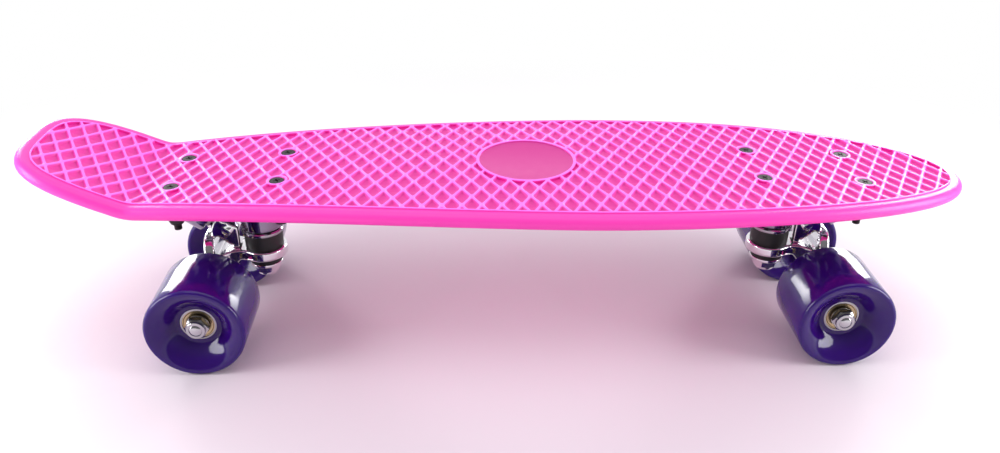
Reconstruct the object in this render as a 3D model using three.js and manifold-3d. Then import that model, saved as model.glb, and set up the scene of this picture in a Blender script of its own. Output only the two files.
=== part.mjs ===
// A small plastic cruiser skateboard: a moulded deck with a kick tail and a
// diamond lattice on top, and two trucks with four urethane wheels.
// Millimetres, +Z up, +X towards the nose, +Y to the left.
// The origin is on the ground, under the middle of the deck.
import * as THREE from "three";
import { mergeVertices } from "three/addons/utils/BufferGeometryUtils.js";
import Module from "manifold-3d";

const wasm = await Module();
wasm.setup();

// Clearances
const seatGap = 0.3; // between pieces that bear on each other
const sleeveGap = 0.15; // radial, round a bolt or in a socket
const turnGap = 0.06; // radial, between pieces that turn on each other
const overrun = 5; // how far a cutting tool stands past what it cuts

// Deck, seen from above
const bodyLength = 513; // from the fold to the nose
const kickLength = 72.5; // from the fold to the tail, along the kick
const deckWidth = 151;
const noseLength = 238.4; // from the widest place to the nose
const foldWidth = 99.5;
const taperPower = 1.49; // how the sides draw in from the widest place to the fold
const tailPower = 3.2; // how square the tail is
const nosePower = 2.12; // how blunt the nose is
const noseSteps = 10;
const sideSteps = 7;
const tailSteps = 7;

// Deck, seen from the side
const edgeThickness = 8.6;
const edgeRound = 4.1;
const edgeSegments = 2;
const camberDrop = 5.6; // from the middle down to the truck centres
const crownDrop = 2.7; // from the middle line down to the edge, at the middle
const concaveRise = 1.3; // from the middle line up to the edge, at the truck centres
const noseRise = 3; // of the nose, from the truck centre on
const kickAngle = THREE.MathUtils.degToRad(22.7);
const foldLength = 10; // of the curve at the fold

// Lattice of recessed diamonds
const borderInset = 7.2; // from the deck's edge to the lattice's raised border
const borderProud = 0.8;
const borderWidth = 0.9;
const cellLength = 11.4;
const cellWidth = 19.6;
const cellDepth = 1.8;
const valleyShare = 0.66; // of a cell's length
const ribDrop = 0.1; // of the ribs below the border
const ribNodeFromTruckMiddle = -3.1;

// Round recess at the middle, its raised ring and the seats of the screws
const badgeRadius = 30.9;
const badgeRingWidth = 1.4;
const badgeDepth = 1.4;
const badgeFromTruckMiddle = 3;
const screwSeatRadius = 6.2;

// Deck underneath
const topPlate = 2.8; // thickness under the lattice's floors
const wallInset = 9.5;
const ribThickness = 2.6;
const ribRelief = 0.8; // of the ribs above the lower edge
const pocketColumns = 7;
const pocketRows = 3;
const padMargin = 9.5; // of a truck pad round its bolts
const padDepth = 15.5; // from the deck's top to the truck's seat

// Trucks on the deck
const truckSpacing = 361;
const foldToTruckMiddle = 230.9;
const originToTruckMiddle = 8.95;
const boltSpacingLength = 63.5;
const boltSpacingWidth = 41.3;

// Deck bolts
const screwRadius = 2.35;
const screwHeadRadius = 4.5;
const screwHeadHeight = 2.7;
const screwHeadSink = 0.35;
const screwLength = 29.4;
const lockNutAcross = 9.5;
const lockNutHeight = 5.6;
const lockNutCollar = 1.6;

// Baseplate
const plateThickness = 5.5;
const plateMargin = 6.8; // past the bolts
const plateCorner = 6;
const kingpinInboard = 14.5; // of the bolt pattern's centre
const kingpinBossRadius = 13;
const kingpinBossFlare = 2.5;
const kingpinBossDepth = 24.3;
const pivotInset = 6.75; // of the pivot inside the outer bolts
const pivotDepth = 13;
const pivotBossRadius = 10.4;
const pivotBossMouth = 9;
const pivotBossBack = 5;
const webThickness = 8; // of the web between the two bosses
const webDepth = 11;

// Hanger
const axleOutboard = 15.8;
const axleDepth = 58.8; // below the baseplate's seat
const hangerHalfLength = 36.5;
const beamRadius = 9.3;
const beamEndRadius = 7;
const beamStraightHalf = 24;
const ringRadius = 14.3;
const ringThickness = 6.8;
const ringRecess = 1.5;
const ringBore = 6.6;
const finThickness = 6.6;
const finHeight = 31; // above the axle
const finLean = 2.7; // of its top outboard of the axle
const braceThickness = 11;
const braceRise = 11.5; // of its outboard corner above the stem's root
const armRootDrop = 5; // of the arm's underside below the axle's middle
// Half outlines of the arm seen from above and of the fin, from the axle on: share of the
// length out, share of the hanger's half length across.
const armShares = [
  [0, 0.66],
  [0.1, 0.52],
  [0.26, 0.37],
  [0.5, 0.28],
  [0.76, 0.33],
];
const finShares = [
  [0, 0.9],
  [0.3, 0.66],
  [0.85, 0.36],
  [1, 0.2],
];
const stemRadius = 5.2;
const stemRootRadius = 7.2;
const stemLength = 24;
const stemTipRound = 2.4;
const cupWall = 2;
const cupFloor = 1.8;
const cupDepth = 8.6;

// Kingpin and bushings
const kingpinRadius = 4.76;
const kingpinHeadAcross = 14.3;
const kingpinHeadHeight = 6;
const kingpinTail = 1.2; // past its nut
const kingpinNutAcross = 14.3;
const kingpinNutHeight = 7;
const kingpinNutCollar = 1.8;
const boardCupRadius = 13.3;
const boardCupThickness = 2.5;
const boardBushingRadius = 12.2;
const boardBushingHeight = 11.7;
const roadBushingRadius = 10.2;
const roadBushingHeight = 5.6;
const roadWasherRadius = 10.6;
const roadWasherThickness = 1.8;
const cupLip = 1;

// Wheels, bearings and axle
const wheelRadius = 30;
const wheelWidth = 46.4;
const wheelEdgeInset = 2.4; // of the tread from the wheel's face
const wheelLipDrop = 1.7; // from the tread to the lip
const wheelFaceDepth = 10.9; // from the wheel's face to its bearing
const wheelDishRadius = 13.4;
const wheelBowlRadius = 20.5;
const wheelBowlDepth = 3.4;
const wheelCoreRadius = 9.5;
const bearingRadius = 11;
const bearingWidth = 7;
const axleRadius = 3.97;
const axleTipInset = 3; // of the axle's end inside the wheel's face
const axleTipChamfer = 0.8;
const speedWasherRadius = 6.8;
const speedWasherThickness = 0.9;
const axleNutAcross = 12.7;
const axleNutHeight = 5.6;
const axleNutCollar = 1.6;

// Faces round a circle
const smallSides = 8;
const boltSides = 8;
const bearingSides = 9; // half the wheel's, so that their flats lie together
const roundSides = 10;
const ringSides = 14;
const wheelSides = 18;
const discSides = 24;
const hexSides = 6;
const curveSteps = 3;
const mergeTolerance = 1e-4;

// Places that follow from the sizes
const truckMiddleX = originToTruckMiddle;
const truckHalf = truckSpacing / 2;
const foldX = truckMiddleX - foldToTruckMiddle;
const tailX = foldX - kickLength; // before the kick is bent up
const noseX = foldX + bodyLength;
const widestX = noseX - noseLength;
const seatZ = wheelRadius + axleDepth; // top of the baseplates
const deckZ = seatZ + seatGap + padDepth + camberDrop; // the lattice at the middle
const axleZ = -axleDepth;
const ringTopZ =
  -(kingpinBossDepth + seatGap + boardCupThickness + seatGap) -
  (boardBushingHeight + seatGap) +
  ringRecess;
const ringBottomZ = ringTopZ - ringThickness;
const roadBushingTopZ = ringBottomZ + ringRecess - seatGap;
const roadWasherTopZ = roadBushingTopZ - roadBushingHeight - seatGap;
const kingpinNutTopZ = roadWasherTopZ - roadWasherThickness - seatGap;
const kingpinEndZ = kingpinNutTopZ - kingpinNutHeight - kingpinTail;
const ringMiddleZ = (ringTopZ + ringBottomZ) / 2;
const pivotOutboard = boltSpacingLength / 2 - pivotInset;
const wheelMiddleY = hangerHalfLength + seatGap + wheelWidth / 2 - wheelFaceDepth;

// The steering axis runs from the ring's centre up and out to the pivot.
const pivotPoint = new THREE.Vector3(-pivotOutboard, 0, -pivotDepth);
const ringPoint = new THREE.Vector3(kingpinInboard, 0, ringMiddleZ);
const steeringAxis = pivotPoint.clone().sub(ringPoint).normalize();

const finish = (color, roughness, metalness) =>
  new THREE.MeshStandardMaterial({ color, roughness, metalness });
const deckFinish = () => finish(0xf855bd, 0.35, 0);
const wheelFinish = () => finish(0x2c1560, 0.15, 0);
const chromeFinish = () => finish(0xd9d6dd, 0.06, 1);
const steelFinish = () => finish(0xb9b6ba, 0.25, 1);
const blackSteelFinish = () => finish(0x1b1719, 0.35, 0.6);
const bushingFinish = () => finish(0x1a1718, 0.5, 0);
const cupFinish = () => finish(0xe6e2dc, 0.5, 0);

// A closed geometry as a solid.
function toSolid(geometry) {
  const bare = geometry.index ? geometry.toNonIndexed() : geometry.clone();
  bare.deleteAttribute("normal");
  bare.deleteAttribute("uv");
  const merged = mergeVertices(bare, mergeTolerance);
  return new wasm.Manifold(
    new wasm.Mesh({
      numProp: 3,
      vertProperties: merged.attributes.position.array,
      triVerts: new Uint32Array(merged.index.array),
    }),
  );
}

// A solid as a geometry again.
function toGeometry(solid) {
  const mesh = solid.getMesh();
  const geometry = new THREE.BufferGeometry();
  const points = new Float32Array(mesh.vertProperties);
  geometry.setAttribute("position", new THREE.BufferAttribute(points, 3));
  geometry.setIndex(new THREE.BufferAttribute(new Uint32Array(mesh.triVerts), 1));
  geometry.computeVertexNormals();
  return geometry;
}

const join = (solids) => solids.reduce((whole, solid) => whole.add(solid));
const cut = (solid, tools) => tools.reduce((rest, tool) => rest.subtract(tool), solid);

// A profile of [radius, height] points turned about the Z axis.
function turned(profile, sides) {
  const points = profile.map(([radius, height]) => new THREE.Vector2(radius, height));
  return new THREE.LatheGeometry(points, sides).rotateX(Math.PI / 2);
}

// A closed ring or a pin, from bottom to top.
const ringProfile = (inner, outer, bottom, top) => [
  [inner, bottom],
  [outer, bottom],
  [outer, top],
  [inner, top],
  [inner, bottom],
];
const pinProfile = (radius, bottom, top) => [
  [0, bottom],
  [radius, bottom],
  [radius, top],
  [0, top],
];
const pin = (radius, bottom, top, sides) => toSolid(turned(pinProfile(radius, bottom, top), sides));

// A bore whose flats clear a round of this radius.
const boreRadius = (radius, gap, sides) => (radius + gap) / Math.cos(Math.PI / sides);

// A lock nut: six flats and a narrower collar, turned so that its collar points down.
function lockNut(across, height, collar, bolt) {
  const corner = across / 2 / Math.cos(Math.PI / hexSides);
  const bore = boreRadius(bolt, sleeveGap, hexSides);
  return turned(
    [
      [bore, -height],
      [(corner + bore) / 2, -height],
      [corner, -height + collar],
      [corner, 0],
      [bore, 0],
      [bore, -height],
    ],
    hexSides,
  );
}

// A flat outline of [x, y] points pulled up along Z.
function prism(outline, bottom, top) {
  const shape = new THREE.Shape(outline.map(([x, y]) => new THREE.Vector2(x, y)));
  const geometry = new THREE.ExtrudeGeometry(shape, { depth: top - bottom, bevelEnabled: false });
  return geometry.translate(0, 0, bottom);
}

// A box between two corners.
function block(low, high) {
  const size = high.map((value, i) => value - low[i]);
  const middle = high.map((value, i) => (value + low[i]) / 2);
  return toSolid(new THREE.BoxGeometry(...size).translate(...middle));
}

// Half the deck's width at the fold and forward of it, from the fold to the widest place.
function sideHalfWidth(x) {
  const share = (widestX - x) / (widestX - foldX);
  return deckWidth / 2 - ((deckWidth - foldWidth) / 2) * share ** taperPower;
}

// The left edge of the deck from the tail's middle to the nose's tip.
function leftEdge() {
  const edge = [];
  for (let i = 0; i < tailSteps; i += 1) {
    const angle = (i / tailSteps) * (Math.PI / 2);
    const back = Math.cos(angle) ** (2 / tailPower);
    const out = Math.sin(angle) ** (2 / tailPower);
    edge.push([foldX - kickLength * back, (foldWidth / 2) * out]);
  }
  for (let i = 0; i < sideSteps; i += 1) {
    const x = foldX + ((widestX - foldX) * i) / sideSteps;
    edge.push([x, sideHalfWidth(x)]);
  }
  for (let i = 0; i <= noseSteps; i += 1) {
    const angle = (i / noseSteps) * (Math.PI / 2);
    const out = Math.max(0, Math.cos(angle)) ** (2 / nosePower);
    edge.push([widestX + noseLength * Math.sin(angle) ** (2 / nosePower), (deckWidth / 2) * out]);
  }
  return edge;
}

// The whole outline, drawn in by an inset.
function deckOutline(inset) {
  const left = leftEdge();
  const right = left
    .slice(1, -1)
    .reverse()
    .map(([x, y]) => [x, -y]);
  const loop = [...left, ...right];
  return loop.map(([x, y], i) => {
    const [ax, ay] = loop[(i + loop.length - 1) % loop.length];
    const [bx, by] = loop[(i + 1) % loop.length];
    const length = Math.hypot(bx - ax, by - ay);
    return [x + ((by - ay) / length) * inset, y - ((bx - ax) / length) * inset];
  });
}

// How high the deck's top lies at a place forward of the fold.
function deckHeight(x, y) {
  const along = (Math.max(x, foldX) - truckMiddleX) / truckHalf;
  const drop = crownDrop - (crownDrop + concaveRise) * along ** 2;
  const nose = Math.max(0, x - truckMiddleX - truckHalf) / (noseX - truckMiddleX - truckHalf);
  const across = y / (deckWidth / 2);
  return deckZ - camberDrop * along ** 2 - drop * across ** 2 + noseRise * nose ** 2;
}

// Where a point of the flat deck comes to lie, with camber, crown and the kick bent up.
function bentPlace(x, y, z) {
  const past = Math.max(0, foldX + foldLength / 2 - x);
  const angle = (Math.min(past, foldLength) / foldLength) * kickAngle;
  const radius = foldLength / kickAngle;
  const straight = Math.max(0, past - foldLength);
  const back = radius * Math.sin(angle) + straight * Math.cos(angle) - z * Math.sin(angle);
  const up = radius * (1 - Math.cos(angle)) + straight * Math.sin(angle) + z * Math.cos(angle);
  return [x + past - back, y, deckHeight(x, y) + up];
}

const badgeX = truckMiddleX + badgeFromTruckMiddle;
const truckPlaces = [
  { end: "rear", x: truckMiddleX - truckHalf, turn: 0 },
  { end: "front", x: truckMiddleX + truckHalf, turn: Math.PI },
];
const boltPlaces = truckPlaces.flatMap(({ end, x }) =>
  [-1, 1].flatMap((along) =>
    [-1, 1].map((across) => ({
      name:
        end +
        ((along > 0) === (end === "front") ? "_outer" : "_inner") +
        (across > 0 ? "_left" : "_right"),
      x: x + (along * boltSpacingLength) / 2,
      y: (across * boltSpacingWidth) / 2,
    })),
  ),
);

// The space above the ribs of the lattice: a block of diamond cells, each sloping down from
// its four ribs to a short valley along X, closed by a plane above the deck.
function latticeSpace() {
  const nodeX = truckMiddleX + ribNodeFromTruckMiddle;
  const positions = [];
  const addFace = (...corners) => {
    for (let i = 1; i < corners.length - 1; i += 1)
      positions.push(...corners[0], ...corners[i], ...corners[i + 1]);
  };
  const node = (u, v) => [nodeX + ((u + v) / 2) * cellLength, ((u - v) / 2) * cellWidth];
  const middle = (u, v) => node(u + 1 / 2, v + 1 / 2);
  const inBlock = (u, v) => {
    const [x, y] = middle(u, v);
    return (
      x > tailX - cellLength && x < noseX + cellLength && Math.abs(y) < deckWidth / 2 + cellWidth
    );
  };
  const corners = [
    [0, 0],
    [1, 0],
    [1, 1],
    [0, 1],
  ];
  const neighbours = [
    [0, -1],
    [1, 0],
    [0, 1],
    [-1, 0],
  ];
  const reach = Math.ceil((noseX - tailX) / cellLength + deckWidth / cellWidth);
  for (let u = -reach; u < reach; u += 1)
    for (let v = -reach; v < reach; v += 1) {
      if (!inBlock(u, v)) continue;
      const [cx, cy] = middle(u, v);
      const flat = corners.map(([du, dv]) => node(u + du, v + dv));
      const rim = flat.map(([x, y]) => [x, y, -ribDrop]);
      const lid = flat.map(([x, y]) => [x, y, overrun]);
      const [tail, left, nose, right] = rim;
      const valleyTail = [cx - (cellLength / 2) * valleyShare, cy, -cellDepth];
      const valleyNose = [cx + (cellLength / 2) * valleyShare, cy, -cellDepth];
      addFace(left, valleyNose, valleyTail);
      addFace(right, valleyTail, valleyNose);
      addFace(tail, left, valleyTail);
      addFace(left, nose, valleyNose);
      addFace(nose, right, valleyNose);
      addFace(right, tail, valleyTail);
      addFace(...lid.slice().reverse());
      neighbours.forEach(([du, dv], i) => {
        const next = (i + 1) % corners.length;
        if (!inBlock(u + du, v + dv)) addFace(rim[next], rim[i], lid[i], lid[next]);
      });
    }
  const geometry = new THREE.BufferGeometry();
  geometry.setAttribute("position", new THREE.Float32BufferAttribute(positions, 3));
  return toSolid(geometry);
}

// A plain disc at a place on the deck.
const disc = (x, y, radius, bottom, top, sides) =>
  toSolid(turned(pinProfile(radius, bottom, top), sides).translate(x, y, 0));

// The pockets under the deck, between its walls and ribs.
function undersidePockets(bodyBottom) {
  const ceiling = -(cellDepth + topPlate);
  const inner = toSolid(prism(deckOutline(wallInset), bodyBottom - overrun, ceiling));
  const columnPitch = (noseX - foldX) / pocketColumns;
  const rowPitch = deckWidth / pocketRows;
  const boxes = [];
  for (let column = -1; column < pocketColumns; column += 1)
    for (let row = 0; row < pocketRows; row += 1) {
      const low = column < 0 ? tailX : foldX + column * columnPitch;
      const high = column < 0 ? foldX : low + columnPitch;
      const right = row * rowPitch - deckWidth / 2;
      boxes.push(
        block(
          [low + ribThickness / 2, right + ribThickness / 2, bodyBottom - overrun],
          [high - ribThickness / 2, right + rowPitch - ribThickness / 2, ceiling],
        ),
      );
    }
  const relief = block(
    [tailX, -deckWidth, bodyBottom - overrun],
    [noseX, deckWidth, bodyBottom + ribRelief],
  );
  return join([...boxes, relief]).intersect(inner);
}

function deckGeometry() {
  const bodyTop = -borderProud;
  const bodyBottom = bodyTop - edgeThickness;
  const shape = new THREE.Shape(deckOutline(0).map(([x, y]) => new THREE.Vector2(x, y)));
  const body = toSolid(
    new THREE.ExtrudeGeometry(shape, {
      depth: edgeThickness - 2 * edgeRound,
      bevelThickness: edgeRound,
      bevelSize: edgeRound,
      bevelOffset: -edgeRound,
      bevelSegments: edgeSegments,
    }).translate(0, 0, bodyBottom + edgeRound),
  );
  const field = toSolid(prism(deckOutline(borderInset), bodyTop - overrun / 2, 0));
  const latticeEdge = prism(deckOutline(borderInset + borderWidth), bodyBottom, overrun / 2);
  const seats = [
    disc(badgeX, 0, badgeRadius, -cellDepth - ribDrop, 0, discSides),
    ...boltPlaces.map(({ x, y }) =>
      disc(x, y, screwSeatRadius, -cellDepth - ribDrop, 0, roundSides),
    ),
  ];
  const recesses = cut(latticeSpace().intersect(toSolid(latticeEdge)), seats);
  const pockets = undersidePockets(bodyBottom);
  const pads = truckPlaces.map(({ x }) =>
    block(
      [
        x - boltSpacingLength / 2 - padMargin,
        -boltSpacingWidth / 2 - padMargin,
        -padDepth - overrun,
      ],
      [
        x + boltSpacingLength / 2 + padMargin,
        boltSpacingWidth / 2 + padMargin,
        -cellDepth - topPlate / 2,
      ],
    ),
  );
  const flat = join([cut(body.add(field), [recesses, pockets]), ...pads]);

  const bent = toGeometry(flat);
  const points = bent.getAttribute("position");
  for (let i = 0; i < points.count; i += 1)
    points.setXYZ(i, ...bentPlace(points.getX(i), points.getY(i), points.getZ(i)));

  const badgeTop = deckHeight(badgeX, 0);
  const badgeInner = badgeRadius - badgeRingWidth;
  const badgeBottom = badgeTop - badgeDepth;
  const badge = disc(badgeX, 0, badgeInner, badgeBottom, badgeTop + overrun, discSides);
  const deckSeatZ = seatZ + seatGap;
  const padBottoms = truckPlaces.map(({ x }) =>
    block(
      [x - boltSpacingLength, -boltSpacingWidth, deckSeatZ - padDepth],
      [x + boltSpacingLength, boltSpacingWidth, deckSeatZ],
    ),
  );
  const screwHoles = boltPlaces.map(({ x, y }) => {
    const top = deckHeight(x, y) - screwHeadSink;
    const shank = boreRadius(screwRadius, seatGap, boltSides);
    const flare = (screwHeadRadius - screwRadius) / screwHeadHeight;
    return toSolid(
      turned(
        [
          [0, deckSeatZ - padDepth],
          [shank, deckSeatZ - padDepth],
          [shank, top - screwHeadHeight],
          [shank + (screwHeadHeight + overrun) * flare, top + overrun],
          [0, top + overrun],
        ],
        boltSides,
      ).translate(x, y, 0),
    );
  });
  return toGeometry(cut(toSolid(bent), [badge, ...padBottoms, ...screwHoles]));
}

// A countersunk deck bolt, hanging from the origin at the top of its head.
const screwGeometry = () =>
  turned(
    [
      [0, -screwLength],
      [screwRadius, -screwLength],
      [screwRadius, -screwHeadHeight],
      [screwHeadRadius, 0],
      [0, 0],
    ],
    boltSides,
  );

// A geometry about Z laid along the steering axis, with its origin at the pivot.
function alongSteering(geometry) {
  const turn = new THREE.Quaternion().setFromUnitVectors(
    new THREE.Vector3(0, 0, 1),
    steeringAxis,
  );
  return geometry.applyQuaternion(turn).translate(...pivotPoint);
}

// A geometry about Z at the kingpin.
const atKingpin = (geometry) => geometry.translate(kingpinInboard, 0, 0);

// A geometry about Z laid along the axle.
const alongAxle = (geometry) => geometry.rotateX(-Math.PI / 2).translate(-axleOutboard, 0, axleZ);

// An outline in the XZ plane, as thick as given, about the truck's middle plane.
const sidePlate = (outline, thickness) =>
  toSolid(
    prism(outline, -thickness / 2, thickness / 2)
      .rotateX(Math.PI / 2),
  );

function baseplateGeometry() {
  const halfLength = boltSpacingLength / 2 + plateMargin;
  const halfWidth = boltSpacingWidth / 2 + plateMargin;
  const outline = [];
  [
    [1, 1],
    [-1, 1],
    [-1, -1],
    [1, -1],
  ].forEach(([sx, sy], corner) => {
    for (let i = 0; i <= curveSteps; i += 1) {
      const angle = (corner + i / curveSteps) * (Math.PI / 2);
      outline.push([
        sx * (halfLength - plateCorner) + plateCorner * Math.cos(angle),
        sy * (halfWidth - plateCorner) + plateCorner * Math.sin(angle),
      ]);
    }
  });
  const plate = toSolid(prism(outline, -plateThickness, 0));
  const kingpinBoss = toSolid(
    atKingpin(
      turned(
        [
          [0, -kingpinBossDepth],
          [kingpinBossRadius, -kingpinBossDepth],
          [kingpinBossRadius + kingpinBossFlare, -plateThickness / 2],
          [0, -plateThickness / 2],
        ],
        ringSides,
      ),
    ),
  );
  const pivotBoss = toSolid(
    alongSteering(turned(pinProfile(pivotBossRadius, -pivotBossMouth, pivotBossBack), ringSides)),
  );
  const web = block(
    [-pivotOutboard, -webThickness / 2, -webDepth],
    [kingpinInboard, webThickness / 2, -plateThickness / 2],
  );
  const pocket = stemRadius + seatGap + cupWall + seatGap;
  const tools = [
    toSolid(
      alongSteering(
        turned(pinProfile(pocket, -pivotBossMouth - overrun, cupFloor + 2 * seatGap), roundSides),
      ),
    ),
    toSolid(
      atKingpin(
        turned(
          pinProfile(
            boreRadius(kingpinRadius, sleeveGap, roundSides),
            -kingpinBossDepth - overrun,
            overrun,
          ),
          roundSides,
        ),
      ),
    ),
    toSolid(
      atKingpin(
        turned(
          pinProfile(
            kingpinHeadAcross / 2 / Math.cos(Math.PI / hexSides) + seatGap,
            -kingpinHeadHeight - 2 * seatGap,
            overrun,
          ),
          hexSides,
        ),
      ),
    ),
    block(
      [-boltSpacingLength, -boltSpacingWidth, 0],
      [boltSpacingLength, boltSpacingWidth, kingpinBossDepth],
    ),
    ...[-1, 1].flatMap((along) =>
      [-1, 1].map((across) =>
        toSolid(
          turned(
            pinProfile(
              boreRadius(screwRadius, seatGap, smallSides),
              -plateThickness - overrun,
              overrun,
            ),
            smallSides,
          ).translate((along * boltSpacingLength) / 2, (across * boltSpacingWidth) / 2, 0),
        ),
      ),
    ),
  ];
  return toGeometry(cut(join([plate, kingpinBoss, pivotBoss, web]), tools));
}

// The hanger: the beam on the axle, the ring round the kingpin, the arm between them, flat
// on top and sloping underneath, the fin that leans up from the beam to the stem, the brace
// between ring and stem, and the stem in its pivot cup.
function hangerGeometry() {
  const beam = toSolid(
    alongAxle(
      turned(
        [
          [0, -hangerHalfLength],
          [beamEndRadius, -hangerHalfLength],
          [beamRadius, -beamStraightHalf],
          [beamRadius, beamStraightHalf],
          [beamEndRadius, hangerHalfLength],
          [0, hangerHalfLength],
        ],
        roundSides,
      ),
    ),
  );
  const ring = toSolid(
    atKingpin(turned(pinProfile(ringRadius, ringBottomZ, ringTopZ), ringSides)),
  );
  const outline = (shares, length) =>
    shares.map(([along, across]) => [along * length, across * hangerHalfLength]);
  const mirrored = (half) => [
    ...half,
    ...half
      .slice()
      .reverse()
      .map(([a, b]) => [a, -b]),
  ];
  const armPlan = mirrored(outline(armShares, kingpinInboard + axleOutboard)).reverse();
  const armSide = sidePlate(
    [
      [kingpinInboard, ringBottomZ],
      [kingpinInboard, ringTopZ],
      [-axleOutboard + beamRadius / 2, ringTopZ],
      [-axleOutboard - beamRadius, axleZ],
      [-axleOutboard, axleZ - armRootDrop],
      [kingpinInboard - ringRadius, ringBottomZ],
    ],
    2 * hangerHalfLength,
  );
  const arm = toSolid(
    prism(armPlan, axleZ - beamRadius, ringTopZ).translate(-axleOutboard, 0, 0),
  ).intersect(armSide);
  const lean = new THREE.Vector2(finHeight, finLean);
  const finOutline = mirrored(outline(finShares, lean.length())).reverse();
  const fin = toSolid(
    prism(finOutline, -finThickness / 2, finThickness / 2)
      .rotateY(-Math.PI / 2 - lean.angle())
      .translate(-axleOutboard, 0, axleZ),
  );
  const ringEdge = kingpinInboard - ringRadius;
  const stemRoot = pivotPoint.clone().addScaledVector(steeringAxis, -stemLength);
  const brace = sidePlate(
    [
      [ringEdge + ringRecess, ringBottomZ],
      [ringEdge + ringRecess, ringTopZ - ringRecess],
      [ringEdge - seatGap, ringTopZ],
      [ringEdge - seatGap, stemRoot.z + stemRootRadius / 2],
      [stemRoot.x - stemRootRadius, stemRoot.z + braceRise],
      [-axleOutboard, stemRoot.z - stemRootRadius / 2],
    ],
    braceThickness,
  );
  const stem = toSolid(
    alongSteering(
      turned(
        [
          [0, -stemLength],
          [stemRootRadius, -stemLength],
          [stemRootRadius, -pivotBossMouth - stemRootRadius / 2],
          [stemRadius, -pivotBossMouth],
          [stemRadius, -stemTipRound],
          [stemRadius - stemTipRound, 0],
          [0, 0],
        ],
        roundSides,
      ),
    ),
  );
  const clearance = (radius, bottom, top, sides) =>
    toSolid(atKingpin(turned(pinProfile(radius, bottom, top), sides)));
  const tools = [
    clearance(ringBore, roadWasherTopZ, 0, roundSides),
    clearance(
      boardBushingRadius + seatGap,
      ringTopZ - ringRecess,
      -kingpinBossDepth,
      ringSides,
    ),
    clearance(roadBushingRadius + seatGap, kingpinEndZ, ringBottomZ + ringRecess, ringSides),
    clearance(ringRadius, kingpinEndZ, ringBottomZ, ringSides),
    toSolid(
      alongAxle(
        turned(
          pinProfile(
            boreRadius(axleRadius, sleeveGap, boltSides),
            -hangerHalfLength - overrun,
            hangerHalfLength + overrun,
          ),
          boltSides,
        ),
      ),
    ),
  ];
  return toGeometry(cut(join([beam, ring, arm, fin, brace, stem]), tools));
}

const pivotCupGeometry = () => {
  const inner = stemRadius + seatGap;
  return alongSteering(
    turned(
      [
        [0, seatGap],
        [inner, seatGap],
        [inner, -cupDepth],
        [inner + cupWall, -cupDepth],
        [inner + cupWall, cupFloor + seatGap],
        [0, cupFloor + seatGap],
      ],
      roundSides,
    ),
  );
};

// The kingpin with its six-sided head, sunk in the baseplate.
function kingpinGeometry() {
  const headBottom = -seatGap - kingpinHeadHeight;
  const head = turned(
    pinProfile(kingpinHeadAcross / 2 / Math.cos(Math.PI / hexSides), headBottom, -seatGap),
    hexSides,
  );
  const shank = turned(pinProfile(kingpinRadius, kingpinEndZ, -2 * seatGap), roundSides);
  return toGeometry(join([toSolid(atKingpin(head)), toSolid(atKingpin(shank))]));
}

const kingpinBore = boreRadius(kingpinRadius, sleeveGap, roundSides);

// A cup washer with a turned lip on its outer side.
const cupWasherGeometry = (radius, bottom, top) =>
  atKingpin(
    turned(
      [
        [kingpinBore, bottom],
        [radius, bottom],
        [radius - cupLip, top],
        [kingpinBore, top],
        [kingpinBore, bottom],
      ],
      roundSides,
    ),
  );

const bushingGeometry = (radius, bottom, top) =>
  atKingpin(turned(ringProfile(kingpinBore, radius, bottom, top), roundSides));

const axleGeometry = () => {
  const end = wheelMiddleY + wheelWidth / 2 - axleTipInset;
  return alongAxle(
    turned(
      [
        [0, -end],
        [axleRadius - axleTipChamfer, -end],
        [axleRadius, -end + axleTipChamfer],
        [axleRadius, end - axleTipChamfer],
        [axleRadius - axleTipChamfer, end],
        [0, end],
      ],
      boltSides,
    ),
  );
};

// A wheel about its own middle: tread, lips, dishes and bearing seats, with a rounder bowl on
// its outer face. It rests on one of its flats, which are as far out as the round tread.
function wheelGeometry() {
  const face = wheelWidth / 2;
  const floor = face - wheelFaceDepth;
  const shoulder = floor - bearingWidth - seatGap / 2;
  const seat = boreRadius(bearingRadius, turnGap, wheelSides);
  const bowl = [wheelBowlRadius, face - wheelBowlDepth];
  const half = [
    [wheelCoreRadius, shoulder],
    [seat, shoulder],
    [seat, floor],
    [wheelDishRadius, floor],
    bowl,
    [wheelRadius - wheelLipDrop, face],
    [wheelRadius / Math.cos(Math.PI / wheelSides), face - wheelEdgeInset],
  ];
  const other = half
    .filter((point) => point !== bowl)
    .reverse()
    .map(([radius, y]) => [radius, -y]);
  const profile = [...half, ...other, half[0]].reverse();
  return turned(profile, wheelSides).rotateZ(Math.PI / wheelSides);
}

const bearingGeometry = () =>
  turned(
    ringProfile(
      boreRadius(axleRadius, turnGap, bearingSides),
      bearingRadius,
      -bearingWidth / 2,
      bearingWidth / 2,
    ),
    bearingSides,
  );

const speedWasherGeometry = () =>
  turned(
    ringProfile(
      boreRadius(axleRadius, sleeveGap, boltSides),
      speedWasherRadius,
      0,
      speedWasherThickness,
    ),
    boltSides,
  );

function piece(name, geometry, material, parent) {
  const mesh = new THREE.Mesh(geometry, material);
  mesh.name = name;
  parent.add(mesh);
  return mesh;
}

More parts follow.
